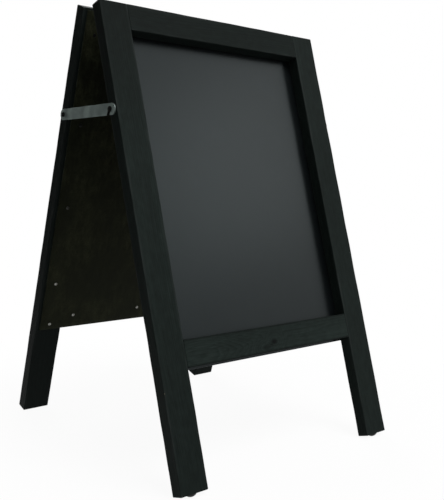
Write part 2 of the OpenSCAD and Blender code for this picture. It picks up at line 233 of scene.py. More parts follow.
def makeStainedPine():
    # softwood planed and stained black with a thin satin coat: near black, growth rings and fibres
    # just showing as a slightly paler and rougher figure, knots darker, arrises rubbed a little paler
    look = timberFinish
    material, tree, shader = newMaterial("blackStainedPine", {"Specular IOR Level": look["specular"]})
    treePlace, knotPlace, knotInk, boardTone, arrisWear, chipPlace = (
        addNode(tree, "Attribute", {"attribute_name": label})
        for label in ("treePlace", "knotPlace", "knotInk", "boardTone", "arrisWear", "chipPlace"))
    place = treePlace.outputs["Vector"]
    knotNear = addNode(tree, "VectorMath", {"operation": "LENGTH"}, {0: knotPlace.outputs["Vector"]})
    swell = addNode(tree, "MapRange", {"interpolation_type": "SMOOTHERSTEP", 1: 0.0, 2: look["knotReach"] / 1000,
                                       3: 1.0, 4: 0.0}, {0: knotNear.outputs["Value"]})
    swellScale = addNode(tree, "Math", {"operation": "MULTIPLY_ADD", 1: look["knotSwell"], 2: 1.0}, {0: swell})
    swollen = addNode(tree, "VectorMath", {"operation": "SCALE"}, {0: place, "Scale": swellScale})
    # slow waviness of the rings, stretched along the board
    slow = addNode(tree, "VectorMath", {"operation": "MULTIPLY", 1: (1, 1, look["slowRun"])}, {0: place})
    waver = addNode(tree, "TexNoise", {"Scale": cells(look["waver"]), "Detail": 2.0}, {"Vector": slow})
    centred = addNode(tree, "VectorMath", {"operation": "SUBTRACT", 1: (0.5, 0.5, 0.5)}, {0: waver.outputs["Color"]})
    small = addNode(tree, "VectorMath", {"operation": "SCALE", "Scale": look["waverReach"] / 1000}, {0: centred})
    ringPlace = addNode(tree, "VectorMath", {"operation": "ADD"}, {0: swollen, 1: small})
    rings = addNode(tree, "TexWave", {"wave_type": "RINGS", "rings_direction": "Z", "wave_profile": "SAW",
                                      "Scale": 2 * math.pi / 20 / (look["ringSpacing"] / 1000), "Distortion": 0.0},
                    {"Vector": ringPlace})
    ringColour = addNode(tree, "ValToRGB", {"stops": [(0.0, look["early"]), (0.55, look["middle"]), (0.9, look["late"]),
                                                      (1.0, look["early"])]}, {0: rings.outputs["Fac"]})
    # fibres drawn out along the board, brushed blotches and slow stain all change the light
    drawn = addNode(tree, "VectorMath", {"operation": "MULTIPLY", 1: (1, 1, 1 / look["fibreRun"])}, {0: place})
    fibres = addNode(tree, "TexNoise", {"Scale": cells(look["fibreWidth"]) / 2, "Detail": 5.0, "Roughness": 0.62},
                     {"Vector": drawn})
    brushed = addNode(tree, "VectorMath", {"operation": "MULTIPLY", 1: (1, 1, look["brushRun"])}, {0: place})
    blotches = addNode(tree, "TexNoise", {"Scale": cells(look["blotchSize"]), "Detail": 2.0}, {"Vector": brushed})
    stain = addNode(tree, "TexNoise", {"Scale": cells(look["stainSize"]), "Detail": 3.0}, {"Vector": slow})
    # painted light and shade along the board, from its attribute, is where the light starts
    light = boardTone.outputs["Fac"]
    for noise, low, high, pair in ((stain, 0.3, 0.7, "stainLight"), (blotches, 0.3, 0.7, "blotchLight"),
                                   (fibres, 0.32, 0.68, "fibreLight")):
        share = addNode(tree, "MapRange", {1: low, 2: high, 3: look[pair][0], 4: look[pair][1]}, {0: noise})
        light = addNode(tree, "Math", {"operation": "MULTIPLY"}, {0: share, 1: light}).outputs[0]
    figured = addNode(tree, "VectorMath", {"operation": "SCALE"}, {0: ringColour, "Scale": light})
    # knots: a black core, as dark as the knot's ink
    coreFrom, coreTo = look["knotCore"]
    core = addNode(tree, "MapRange", {"interpolation_type": "SMOOTHSTEP", 1: coreFrom / 1000, 2: coreTo / 1000,
                                      3: 1.0, 4: 0.0}, {0: knotNear.outputs["Value"]})
    inked = addNode(tree, "Math", {"operation": "MULTIPLY"}, {0: core, 1: knotInk.outputs["Fac"]})
    knotted = addNode(tree, "Mix", {"data_type": "RGBA", 7: tint(look["knot"])}, {0: inked, 6: figured})
    # rubbed arrises
    rubPlace = addNode(tree, "VectorMath", {"operation": "MULTIPLY", 1: (1, 1, look["rubRun"])}, {0: place})
    rub = addNode(tree, "TexNoise", {"Scale": cells(look["rubSize"]), "Detail": 3.0, "Roughness": 0.6},
                  {"Vector": rubPlace})
    rubShare = addNode(tree, "MapRange", {1: 0.4, 2: 0.75, 3: look["rubShare"][0], 4: look["rubShare"][1]},
                       {0: rub})
    rubbed = addNode(tree, "Math", {"operation": "MULTIPLY"}, {0: rubShare, 1: arrisWear.outputs["Fac"]})
    worn = addNode(tree, "Mix", {"data_type": "RGBA", 7: tint(look["rubbed"])}, {0: rubbed, 6: knotted.outputs[2]})
    # the one chip that went through to bare wood
    chipFrom, chipTo = look["chipSize"]
    chipNear = addNode(tree, "VectorMath", {"operation": "LENGTH"}, {0: chipPlace.outputs["Vector"]})
    splinters = addNode(tree, "TexNoise", {"Scale": cells(look["splinterSize"]), "Detail": 3.0}, {"Vector": place})
    ragged = addNode(tree, "Math", {"operation": "MULTIPLY_ADD", 1: look["chipRagged"] / 1000},
                     {0: splinters, 2: chipNear.outputs["Value"]})
    bare = addNode(tree, "MapRange", {1: chipFrom / 1000, 2: chipTo / 1000, 3: 1.0, 4: 0.0}, {0: ragged})
    chipped = addNode(tree, "Mix", {"data_type": "RGBA", 7: tint(look["bareWood"])}, {0: bare, 6: worn.outputs[2]})
    relief = addNode(tree, "Math", {"operation": "MULTIPLY_ADD", 1: look["ringRelief"]},
                     {0: rings.outputs["Fac"], 2: fibres})
    dress(tree, shader, chipped.outputs[2], fibres, relief, look)
    return material


chalkFinish = {
    "haze": 312.5, "wiped": 71.4, "mottle": 2.38,
    "wipedWay": (1.0, 3.0, 0.35),  # the cloth went up and down
    "colours": [(0.12, "#07090a"), (0.3, "#0a0d0e"), (0.45, "#111415")],
    "roughness": (0.282, 0.298), "bump": 0.05, "depth": 0.2, "specular": 0.25, "gloss": "#ebfdff",
}


def makeChalkPaint():
    # chalkboard paint rolled on hardboard: smooth satin slate grey, a faint roller mottle and wiped chalk haze
    look = chalkFinish
    material, tree, shader = newMaterial("satinChalkboardPaint", {"Specular IOR Level": look["specular"],
                                                                  "Specular Tint": tint(look["gloss"])})
    place = addNode(tree, "TexCoord").outputs["Object"]
    haze = addNode(tree, "TexNoise", {"Scale": cells(look["haze"]), "Detail": 5.0, "Roughness": 0.6}, {"Vector": place})
    stretched = addNode(tree, "VectorMath", {"operation": "MULTIPLY", 1: look["wipedWay"]}, {0: place})
    wiped = addNode(tree, "TexNoise", {"Scale": cells(look["wiped"]), "Detail": 6.0, "Roughness": 0.65},
                    {"Vector": stretched})
    mottle = addNode(tree, "TexNoise", {"Scale": cells(look["mottle"]), "Detail": 2.0}, {"Vector": place})
    both = addNode(tree, "Math", {"operation": "MULTIPLY"}, {0: haze, 1: wiped})
    colour = addNode(tree, "ValToRGB", {"stops": look["colours"]}, {0: both})
    dress(tree, shader, colour, wiped, mottle, look)
    return material


hardboardFinish = {
    "bareHardboard": [(0.34, "#0b0d07"), (0.5, "#171911"), (0.64, "#292b1f")],
    "sawnHardboardEdge": [(0.34, "#262a24"), (0.64, "#3b4038")],
    "cloud": 111.0, "streak": 16.7, "streakRun": 0.3, "speck": 3.85,
    "speckLight": (0.75, 1.25), "streakLight": (0.5, 1.5),
    "roughness": (0.52, 0.66), "bump": 0.5, "depth": 0.2, "specular": 0.09, "gloss": "#eff6c6",
}


def makeHardboard(name):
    # bare pressed hardboard: dark brown, cloudy and a little streaked, with fine fibre specks; paler where it is sawn
    look = hardboardFinish
    material, tree, shader = newMaterial(name, {"Specular IOR Level": look["specular"],
                                                "Specular Tint": tint(look["gloss"])})
    place = addNode(tree, "TexCoord").outputs["Object"]
    cloud = addNode(tree, "TexNoise", {"Scale": cells(look["cloud"]), "Detail": 6.0, "Roughness": 0.62},
                    {"Vector": place})
    upright = addNode(tree, "VectorMath", {"operation": "MULTIPLY", 1: (1.0, 1.0, look["streakRun"])}, {0: place})
    streaks = addNode(tree, "TexNoise", {"Scale": cells(look["streak"]), "Detail": 3.0, "Roughness": 0.6},
                      {"Vector": upright})
    specks = addNode(tree, "TexNoise", {"Scale": cells(look["speck"]), "Detail": 3.0, "Roughness": 0.7},
                     {"Vector": place})
    colour = addNode(tree, "ValToRGB", {"stops": look[name]}, {0: cloud})
    (speckLow, speckHigh), (streakLow, streakHigh) = look["speckLight"], look["streakLight"]
    speckLight = addNode(tree, "MapRange", {1: 0.4, 2: 0.6, 3: speckLow, 4: speckHigh}, {0: specks})
    streakLight = addNode(tree, "MapRange", {1: 0.35, 2: 0.65, 3: streakLow, 4: streakHigh}, {0: streaks})
    light = addNode(tree, "Math", {"operation": "MULTIPLY"}, {0: speckLight, 1: streakLight})
    scaled = addNode(tree, "VectorMath", {"operation": "SCALE"}, {0: colour, "Scale": light})
    dress(tree, shader, scaled, specks, specks, look)
    return material


# Painted shadow on the stay bars, nearly black, round the screw heads and in the open slot: centre (y, z) in mm,
# radius, how far and which way it runs on. The first is round the pivot screw's head, the second round the hook screw's
# head and the third the painted shade in the open slot below that. A spot is drawn out along the bar, so y counts less
# than z.
paintedShadow = {"stretch": 0.8, "ragged": 1.2, "edge": (0.2, 1.0), "colour": "#0b0c0a"}
stayPaintedShadows = [((106.08, 774.54), 6.0, 0.0, (0, -1)), ((-96.08, 779.54), 6.8, 0.0, (0, -1)),
            ((-96.08, 779.54), 4.4, 16.0, (0.351, -0.936))]


def spotShare(tree, place, spot, wander):
    # 1 on the spot and 0 off it, by the distance in the y z plane to the line that the spot runs along
    (y, z), radius, run, (wayY, wayZ) = spot
    flat = addNode(tree, "VectorMath", {"operation": "MULTIPLY", 1: (0, paintedShadow["stretch"], 1)}, {0: place})
    offset = addNode(tree, "VectorMath", {"operation": "SUBTRACT", 1: (0, paintedShadow["stretch"] * y / 1000, z / 1000)},
                     {0: flat})
    if run:
        along = addNode(tree, "VectorMath", {"operation": "DOT_PRODUCT", 1: (0, wayY, wayZ)}, {0: offset})
        capped = addNode(tree, "MapRange", {1: 0.0, 2: run / 1000, 3: 0.0, 4: run / 1000}, {0: along.outputs["Value"]})
        onLine = addNode(tree, "VectorMath", {"operation": "SCALE", 0: (0, wayY, wayZ)}, {"Scale": capped})
        offset = addNode(tree, "VectorMath", {"operation": "SUBTRACT"}, {0: offset, 1: onLine})
    near = addNode(tree, "VectorMath", {"operation": "LENGTH"}, {0: offset})
    ragged = addNode(tree, "Math", {"operation": "MULTIPLY_ADD", 1: paintedShadow["ragged"] / 1000},
                     {0: wander, 2: near.outputs["Value"]})
    edgeFrom, edgeTo = paintedShadow["edge"]
    return addNode(tree, "MapRange", {"interpolation_type": "SMOOTHSTEP", 1: (radius + edgeFrom) / 1000,
                                      2: (radius + edgeTo) / 1000, 3: 1.0, 4: 0.0}, {0: ragged})


metalFinish = {
    "rubSize": 1.11, "rubWay": (1.0, 0.08, 1.0),  # fine rub marks run along y, as the bars lie
    "depth": 0.1, "skinSpecular": 0.07,           # gloss of enamel and of the painted shadow on the stay bars
    "rolledDullZincBar": {
        "dark": "#9cacaa", "bright": "#bcccc6", "cloud": 29.4, "roughness": (0.42, 0.58), "bump": 0.12,
        # edges painted darker as shade over their highlight, and painted shadow round the screws and in the slot
        "shadedEdge": "#6c7673", "shadowSpots": stayPaintedShadows,
    },
    "pressedZincPlatedSteel": {
        "dark": "#8b8e8c", "bright": "#a6a8a5", "cloud": 16.67, "roughness": (0.36, 0.52), "bump": 0.15,
    },
    "brightZincScrewSteel": {
        "dark": "#a9aaa5", "bright": "#c9c9c4", "cloud": 5.0, "roughness": (0.26, 0.4), "bump": 0.1,
    },
    "dulledZincScrewSteel": {
        "dark": "#777874", "bright": "#93938e", "cloud": 5.0, "roughness": (0.3, 0.45), "bump": 0.1,
        # painted shade on the upper panel screws
        "shadeAndEnamelBlack": "#171817",
    },
    "blackJapannedSteel": {
        # grey that shows only at the crown, a painted highlight; the enamel's black covers the rest
        "dark": "#4a4c46", "bright": "#5d5f57", "cloud": 5.0, "roughness": (0.3, 0.45), "bump": 0.1,
        "shadeAndEnamelBlack": "#050606", "enamelled": True,
    },
}


def makeMetal(name):
    # plated or enamelled steel: cloudy tone, fine rub marks and uneven sheen, dark where the attribute of that name
    # says so (painted shade on the upper panel screws, the enamel's black round a grey crown painted as a highlight on
    # the stay screws); enamel hides the metal under a black skin with a soft shine; on the stay bars, edges painted
    # darker as shade and painted shadow nearly black round the screws and in the slot
    look = {"depth": metalFinish["depth"], **metalFinish[name]}
    # the enamel, and the painted shadow on the stay bars, make a dull skin in place of bare metal
    skinned = "enamelled" in look or "shadowSpots" in look
    constants = {"Specular IOR Level": metalFinish["skinSpecular"]} if skinned else {"Metallic": 1.0}
    material, tree, shader = newMaterial(name, constants)
    place = addNode(tree, "TexCoord").outputs["Object"]
    cloud = addNode(tree, "TexNoise", {"Scale": cells(look["cloud"]), "Detail": 5.0, "Roughness": 0.6},
                    {"Vector": place})
    stretched = addNode(tree, "VectorMath", {"operation": "MULTIPLY", 1: metalFinish["rubWay"]}, {0: place})
    rubs = addNode(tree, "TexNoise", {"Scale": cells(metalFinish["rubSize"]), "Detail": 4.0, "Roughness": 0.7},
                   {"Vector": stretched})
    colour = addNode(tree, "ValToRGB", {"stops": [(0.3, look["dark"]), (0.7, look["bright"])]},
                     {0: cloud}).outputs[0]
    layers = []  # a colour and where it lies, the last on top
    # dark layer from the attribute: painted shade on the panel screws, the enamel's black round the painted highlight
    # on the stay screws
    if "shadeAndEnamelBlack" in look:
        layers.append((look["shadeAndEnamelBlack"], addNode(tree, "Attribute", {"attribute_name": "tarnish"}).outputs["Fac"]))
    if "shadedEdge" in look:  # painted shade: the edges of the strip, whose normals turn away from x, darkened to dim their highlight
        facing = addNode(tree, "NewGeometry")
        parts = addNode(tree, "SeparateXYZ", links={0: facing.outputs["Normal"]})
        flatness = addNode(tree, "Math", {"operation": "ABSOLUTE"}, {0: parts.outputs["X"]})
        edge = addNode(tree, "MapRange", {1: 0.6, 2: 0.9, 3: 1.0, 4: 0.0}, {0: flatness})
        layers.append((look["shadedEdge"], edge))
    # painted shadow, nearly black, round the stay screws' heads and in the open slot, where the bar also stops being
    # metal
    if "shadowSpots" in look:
        shadowSpots = None
        for spot in look["shadowSpots"]:
            share = spotShare(tree, place, spot, cloud)
            shadowSpots = addNode(tree, "Math", {"operation": "MAXIMUM"}, {0: shadowSpots, 1: share}) if shadowSpots else share
        layers.append((paintedShadow["colour"], shadowSpots))
        unshadowed = addNode(tree, "Math", {"operation": "SUBTRACT", 0: 1.0}, {1: shadowSpots})
        tree.links.new(outOf(unshadowed), shader.inputs["Metallic"])
    for layerColour, share in layers:
        colour = addNode(tree, "Mix", {"data_type": "RGBA", 7: tint(layerColour)}, {0: share, 6: colour}).outputs[2]
    both = addNode(tree, "Math", {"operation": "MULTIPLY_ADD", 1: 0.4}, {0: rubs, 2: cloud})
    dress(tree, shader, colour, both, rubs, look, 0.45, 0.95)
    return material


glideFinish = {
    "scuff": 3.33, "scuffHigh": 2.5,  # scuffed up to this height above the ground
    "colours": [(0.1, "#0b0c0c"), (0.7, "#222321")],
    "roughness": (0.38, 0.6), "bump": 0.2, "depth": 0.1, "specular": 0.15,
}


def makeGlidePlastic():
    # black moulded polythene: dull sheen, scuffed paler where it meets the ground
    look = glideFinish
    material, tree, shader = newMaterial("mouldedBlackPolythene", {"Specular IOR Level": look["specular"]})
    place = addNode(tree, "TexCoord").outputs["Object"]
    scuffs = addNode(tree, "TexNoise", {"Scale": cells(look["scuff"]), "Detail": 5.0, "Roughness": 0.7},
                     {"Vector": place})
    height = addNode(tree, "SeparateXYZ", links={0: place})
    low = addNode(tree, "MapRange", {1: 0.0, 2: look["scuffHigh"] / 1000, 3: 1.0, 4: 0.0}, {0: height.outputs["Z"]})
    scuffed = addNode(tree, "Math", {"operation": "MULTIPLY"}, {0: low, 1: scuffs})
    colour = addNode(tree, "ValToRGB", {"stops": look["colours"]}, {0: scuffed})
    dress(tree, shader, colour, scuffs, scuffs, look)
    return material


beechFinish = {
    "fleck": 1.43, "fleckRun": 0.08,  # short dark flecks, drawn out along the dowel
    "colours": [(0.35, "#8f6f4d"), (0.5, "#c19d74"), (0.7, "#d2b189")],
    "roughness": (0.5, 0.7), "bump": 0.2, "depth": 0.2,
}


def makeBeech():
    # bare turned beech: pale pink brown with short dark flecks
    look = beechFinish
    material, tree, shader = newMaterial("turnedBeech", {})
    place = addNode(tree, "TexCoord").outputs["Object"]
    stretched = addNode(tree, "VectorMath", {"operation": "MULTIPLY", 1: (look["fleckRun"], 1.0, 1.0)}, {0: place})
    flecks = addNode(tree, "TexNoise", {"Scale": cells(look["fleck"]), "Detail": 3.0}, {"Vector": stretched})
    colour = addNode(tree, "ValToRGB", {"stops": look["colours"]}, {0: flecks})
    dress(tree, shader, colour, flecks, flecks, look, 0.0, 1.0)
    return material


stainedPine = makeStainedPine()
chalkPaint = makeChalkPaint()
hardboard = makeHardboard("bareHardboard")
hardboardEdge = makeHardboard("sawnHardboardEdge")
dullZincBar = makeMetal("rolledDullZincBar")
hingeZinc = makeMetal("pressedZincPlatedSteel")
brightZinc = makeMetal("brightZincScrewSteel")
dulledZinc = makeMetal("dulledZincScrewSteel")
japanned = makeMetal("blackJapannedSteel")
glidePlastic = makeGlidePlastic()
beech = makeBeech()
print("materials made")

boardForm = {
    "arris": 1.5,          # mm, planed arris, worn a little more here and there
    "arrisWear": 0.45,     # share by which that radius wanders
    "endEase": 1.5,        # mm, sawn end's edge
    "hollow": 0.25,        # mm, how far the faces dip in places, as seasoned timber does
    "step": 4.0,           # mm between sections
    "arcSteps": 6, "wideSteps": 12, "thinSteps": 6, "endSteps": 4,
    "arrisLimits": (0.7, 2.4), "arrisWave": 60.0,  # mm, the radius's least and most, and its shortest wave
    "rubReach": 2.5,       # mm, how far in from an arris the rubbing fades out, and the painted shade on boards that have it instead
    "pithStray": 2.5, "pithWave": 260.0,  # mm, how far and over what length the pith wanders
    "apart": 1700.0,       # mm between one board's place in the tree and the next one's
    "knotThrough": 0.25,   # how fast a knot changes through the thickness, to its change across
    "chipSink": 0.6,       # mm from the face to the middle of the chip
}


def slowWave(t, seed, shortest=120.0, waves=6):  # sum of a few sines of seeded phase, between about -1 and 1
    chance = np.random.default_rng(seed)
    length = shortest * (1 + 6 * chance.random(waves))
    phase = 2 * np.pi * chance.random(waves)
    return np.sin(2 * np.pi * np.asarray(t)[..., None] / length + phase).sum(-1) / waves ** 0.5 / 1.2


def boardShape(length, width, thick, seed):
    # a rounded rectangle carried along the board: columns go round it, rows go along; its arris radius and the dip
    # of its faces wander slowly, and the rows at each end draw in along a quarter circle and close with one face
    form = boardForm
    ease = form["endEase"]
    bend = np.linspace(0, np.pi / 2, form["endSteps"])
    easeIn, easeDrop = ease * (1 - np.cos(bend)), ease * (1 - np.sin(bend))
    middle = np.arange(ease + form["step"], length - ease - form["step"] / 2, form["step"])
    along = np.concatenate([easeDrop[::-1], middle, length - easeDrop])
    inset = np.concatenate([easeIn[::-1], np.zeros(len(middle)), easeIn])
    wornArris = form["arris"] * (1 + form["arrisWear"] * slowWave(along, seed, form["arrisWave"]))
    radius = np.clip(wornArris, *form["arrisLimits"])[:, None]
    a, b = (width / 2 - inset)[:, None], (thick / 2 - inset)[:, None]
    arc = np.linspace(0, np.pi / 2, form["arcSteps"])
    across, through, rub = [], [], []
    corners = [(1, 1, 0.0), (-1, 1, np.pi / 2), (-1, -1, np.pi), (1, -1, 1.5 * np.pi)]
    for k, (sx, sy, turn) in enumerate(corners):
        nx, ny, nextTurn = corners[(k + 1) % 4]
        across.append(sx * (a - radius) + radius * np.cos(arc + turn))
        through.append(sy * (b - radius) + radius * np.sin(arc + turn))
        rub.append(np.ones_like(arc))
        wideFace = k % 2 == 0
        share = np.linspace(0, 1, (form["wideSteps"] if wideFace else form["thinSteps"]) + 2)[1:-1]
        startX, startY = across[-1][:, -1:], through[-1][:, -1:]
        endX, endY = nx * (a - radius) + radius * np.cos(nextTurn), ny * (b - radius) + radius * np.sin(nextTurn)
        dip = form["hollow"] * np.sin(np.pi * share) * (0.5 + 0.5 * slowWave(along, seed + 7 + k))[:, None]
        dip = np.clip(dip, 0, None) * (inset[:, None] == 0)
        across.append(startX + (endX - startX) * share - (0 if wideFace else dip * sx))
        through.append(startY + (endY - startY) * share - (dip * sy if wideFace else 0))
        fromArris = np.minimum(share, 1 - share) * (width if wideFace else thick)
        rub.append(np.clip(1 - fromArris / form["rubReach"], 0, 1))
    across, through, rub = np.concatenate(across, 1), np.concatenate(through, 1), np.concatenate(rub)
    columns = across.shape[1]
    place = np.stack([across, through, np.broadcast_to(along[:, None], across.shape)], -1)
    faces = [tuple(face) for face in gridFaces(len(along), columns)]
    faces.append(tuple(range(columns))[::-1])
    faces.append(tuple(range((len(along) - 1) * columns, len(along) * columns)))
    return place.reshape(-1, 3), faces, np.broadcast_to(rub, across.shape).ravel()


# Each board's own place in the tree that it was cut from: the pith's distance across and through in mm, and how far
# it tilts along the board. Ovals are given by the place along the board of a bulge of the trunk, its height and how
# fast it rises, knots by their place across and along in mm, how drawn out they are and how dark, and the chip by its
# place. The tones, evenly spaced along the board, multiply its colour as painted light and shade: 1 for the common
# amount, more where it is painted lighter and less where it is painted darker. A last number darkens the arrises as
# painted shade, in place of their rubbing.
midY = (halfFrame["innerY"] + halfFrame["outerY"]) / 2
boards = {
    "front_stile_left": {"pith": (96, -58), "tilt": (0.020, 0.012), "knots": [], "chip": (-33.6, 208.5),
                         "paintedLight": (1.16, 1.26, 1.38, 0.66), "seed": 11},
    "front_stile_right": {"pith": (-110, -46), "tilt": (-0.014, 0.020), "knots": [], "paintedLight": (1.1, 1.16), "seed": 12},
    "front_top_rail": {"pith": (64, -70), "tilt": (0.015, 0.03), "knots": [], "paintedLight": (0.85, 0.85), "seed": 13},
    "front_bottom_rail": {"pith": (-12, -30), "tilt": (0.0, 0.012), "ovals": (48, 18.0, 0.0015),
                          "knots": [(-7.8, 253.8, 1.7, 0.85), (-16.6, 229.6, 2.2, 0.5)],
                          "paintedLight": (1.75, 1.95), "arrisShade": 0.55, "seed": 14},
    "rear_stile_left": {"pith": (88, -50), "tilt": (0.018, 0.02), "knots": [(-12, 402, 1.6, 0.8)],
                        "paintedLight": (1.0, 1.0), "seed": 15},
    "rear_stile_right": {"pith": (-84, -62), "tilt": (0.012, -0.018), "knots": [(14, 668, 1.6, 0.8)],
                         "paintedLight": (1.0, 1.0), "seed": 16},
    "rear_top_rail": {"pith": (-70, -64), "tilt": (-0.02, 0.02), "knots": [(6, 380, 1.6, 0.8)],
                      "paintedLight": (1.0, 1.0), "seed": 17},
    "rear_bottom_rail": {"pith": (18, -34), "tilt": (0.02, 0.03), "knots": [(10, 140, 1.6, 0.8)],
                         "paintedLight": (1.0, 1.0), "seed": 18},
}
boardSizes = {
    "stile": {"width": 70.0, "thick": 30.0, "length": 1050.0, "x": 290.0},
    "rail": {"width": 60.0, "thick": 30.0, "length": 510.0, "topHigh": -34.0, "bottomHigh": -774.0},
}


def makeBoard(name, board):
    form, half = boardForm, name.split("_")[0]
    kind = "stile" if "stile" in name else "rail"
    size = boardSizes[kind]
    local, faces, arrisRubAndShade = boardShape(size["length"], size["width"], size["thick"], board["seed"])
    a, b, l = local[:, 0], local[:, 1], local[:, 2]
    if kind == "stile":  # runs up from its foot, width along x
        centre = -size["x"] if "left" in name else size["x"]
        points = np.stack([centre + a, midY + b, halfFrame["footZ"] + l], -1)
    else:  # runs from left to right, width along z
        high = size["topHigh"] if "top" in name else size["bottomHigh"]
        points = np.stack([l - size["length"] / 2, midY + b, high + a], -1)
    # place in the tree: offset from the pith, which wanders and tilts along the board
    pithA, pithB = board["pith"]
    tiltA, tiltB = board["tilt"]
    fromA = a - pithA + tiltA * l + form["pithStray"] * slowWave(l, board["seed"] + 40, form["pithWave"])
    fromB = b - pithB + tiltB * l + form["pithStray"] * slowWave(l, board["seed"] + 50, form["pithWave"])
    if "ovals" in board:  # a bulge of the trunk, which the saw opens as closed ovals round one spot
        where, height, rate = board["ovals"]
        fromB = fromB + height * (1 - np.exp(-rate * (l - where) ** 2 / height))
    treePlace = np.stack([fromA, fromB, l + form["apart"] * board["seed"]], -1) / 1000
    knotPlace = np.full_like(local, 1.0)
    knotInk = np.zeros(len(local))
    for across, along, longer, ink in board["knots"]:
        offset = np.stack([a - across, form["knotThrough"] * b, (l - along) / longer], -1) / 1000
        nearer = np.linalg.norm(offset, axis=1) < np.linalg.norm(knotPlace, axis=1)
        knotPlace[nearer] = offset[nearer]
        knotInk[nearer] = ink
    chipPlace = np.full_like(local, 1.0)
    if "chip" in board:
        across, along = board["chip"]
        chipPlace = np.stack([a - across, b - size["thick"] / 2 + form["chipSink"], l - along], -1) / 1000
    # painted light and shade along the board
    paintedLight = np.interp(l, np.linspace(0, size["length"], len(board["paintedLight"])), board["paintedLight"])
    if "arrisShade" in board:  # painted shade along the arrises, in place of their rubbing off paler
        paintedLight, arrisRubAndShade = paintedLight * (1 - board["arrisShade"] * arrisRubAndShade), 0 * arrisRubAndShade
    return addPiece(name + "_board", leanInto(points, sides[half]), faces, half + "_frame", name,
                    [stainedPine], {"treePlace": treePlace, "knotPlace": knotPlace, "knotInk": knotInk,
                                    "chipPlace": chipPlace, "arrisWear": arrisRubAndShade, "boardTone": paintedLight})


for boardName, boardFacts in boards.items():
    makeBoard(boardName, boardFacts)
print("boards made:", len(boards))

panelForm = {
    "width": 630.0, "top": -9.0, "bottom": -809.0, "thick": 3.0, "columns": 40, "rows": 50,
    "edge": 0.4,   # mm, radius of the softened edge
    "bow": 0.12, "bowWaves": (97.0, 131.0), "bowFade": 40.0,  # mm, slight bow of the outer face, none at its edges
}


def panelLines(length, steps):
    # where the grid's lines lie along one side: three close together over each softened edge, the rest even
    edge = panelForm["edge"]
    share = np.array([0, 0.15, 0.5])
    last = length / edge
    return np.concatenate([share, np.linspace(1, last - 1, steps), last - share[::-1]]) * edge


def makePanel(name):
    # two sheets of a grid over width and height, joined round a softened edge: the painted one outside, bare inside
    form, half = panelForm, name.split("_")[0]
    edge, height = form["edge"], form["top"] - form["bottom"]
    across, up = np.meshgrid(panelLines(form["width"], form["columns"]), panelLines(height, form["rows"]))
    fromEdge = np.minimum(np.minimum(across, form["width"] - across), np.minimum(up, height - up))
    rounding = edge - np.sqrt(np.clip(edge ** 2 - np.clip(edge - fromEdge, 0, edge) ** 2, 0, None))
    waveAcross, waveUp = form["bowWaves"]
    bow = form["bow"] * (0.5 + 0.5 * np.sin(across / waveAcross) * np.cos(up / waveUp))
    bow = bow * np.clip(fromEdge / form["bowFade"], 0, 1)
    rows, columns = across.shape
    r, c = np.meshgrid(np.arange(rows - 1), np.arange(columns - 1), indexing="ij")
    corner = r * columns + c
    quads = np.stack([corner, corner + 1, corner + columns + 1, corner + columns], -1).reshape(-1, 4)
    sheets = []
    for depth in (rounding, form["thick"] - rounding - bow):  # the inner face and the outer one
        y = halfFrame["innerY"] - form["thick"] + depth
        points = np.stack([across - form["width"] / 2, y, form["bottom"] + up], -1)
        sheets.append((points.reshape(-1, 3), quads))
    points, faces = joinShapes(sheets)
    ring = np.concatenate([np.arange(columns), np.arange(1, rows) * columns + columns - 1,
                           (rows - 1) * columns + np.arange(columns - 2, -1, -1), np.arange(rows - 2, 0, -1) * columns])
    nextRing, total = np.roll(ring, -1), rows * columns
    faces += [tuple(face) for face in np.stack([ring, nextRing, nextRing + total, ring + total], -1).tolist()]
    inks = np.repeat([1, 0, 2], [len(quads), len(quads), len(ring)])
    return addPiece(name + "_sheet", leanInto(points, sides[half]), faces, half + "_frame", name,
                    [chalkPaint, hardboard, hardboardEdge], inks=inks)


makePanel("front_chalk_panel")
makePanel("rear_chalk_panel")
print("panels made")

# Screws, in mm: seat is where the head sits, and outAt, rises, across, high and rows place them in their half. The
# walls of a drive ease out over easing, and a cross's ends over endEasing; it is cut only into what is above rim.
panelScrew = {
    "headD": 8.0, "headH": 2.2, "shankD": 3.5, "length": 12.0, "seat": 14.0,
    "crossWide": 1.1, "crossReach": 2.3, "crossDeep": 1.3, "easing": 0.3, "endEasing": 0.7, "rim": 0.3,
    "outAt": 290.0, "rises": (16.0, 131.0, 337.0, 543.0, 749.0),  # up the stiles, above the panel's lower edge
    "across": (-225.0, -25.0, 175.0), "high": (-34.0, -774.0),    # along the two rails
    "shadedAbove": -460.0, "shadeFade": 100.0,                    # painted shade: all dark above this height, and how soon none
}
hingeScrew = {
    "headD": 8.0, "headDeep": 2.0, "shankD": 4.0, "length": 22.0, "seat": -2.0,
    "crossWide": 1.0, "crossReach": 2.2, "crossDeep": 1.2, "easing": 0.3, "endEasing": 0.7, "rim": -0.01,
    "outAt": 160.0, "rows": ((-26, 31.0), (0, 25.0), (26, 31.0)),
}
stayScrew = {
    "headD": 10.0, "headH": 3.6, "shankD": 5.0, "length": 31.8, "seat": 328.8,
    "slotWide": 1.3, "slotDeep": 1.5, "slotFloor": 0.6, "easing": 0.24, "rim": 0.3,
    "highlightRadius": 0.9, "highlightFade": 0.8,  # radius of the crown left grey as a painted highlight, and how soon it is all black
}
screwAround = 48
lip = {"high": 0.35, "foot": 0.12}   # of a domed head


def shankProfile(form):  # from under the head down the shank to the point
    radius, length = form["shankD"] / 2, form["length"]
    return [(radius, -length + form["shankD"]), (form["shankD"] * 0.3, -length + form["shankD"] * 0.4), (0.0, -length)]


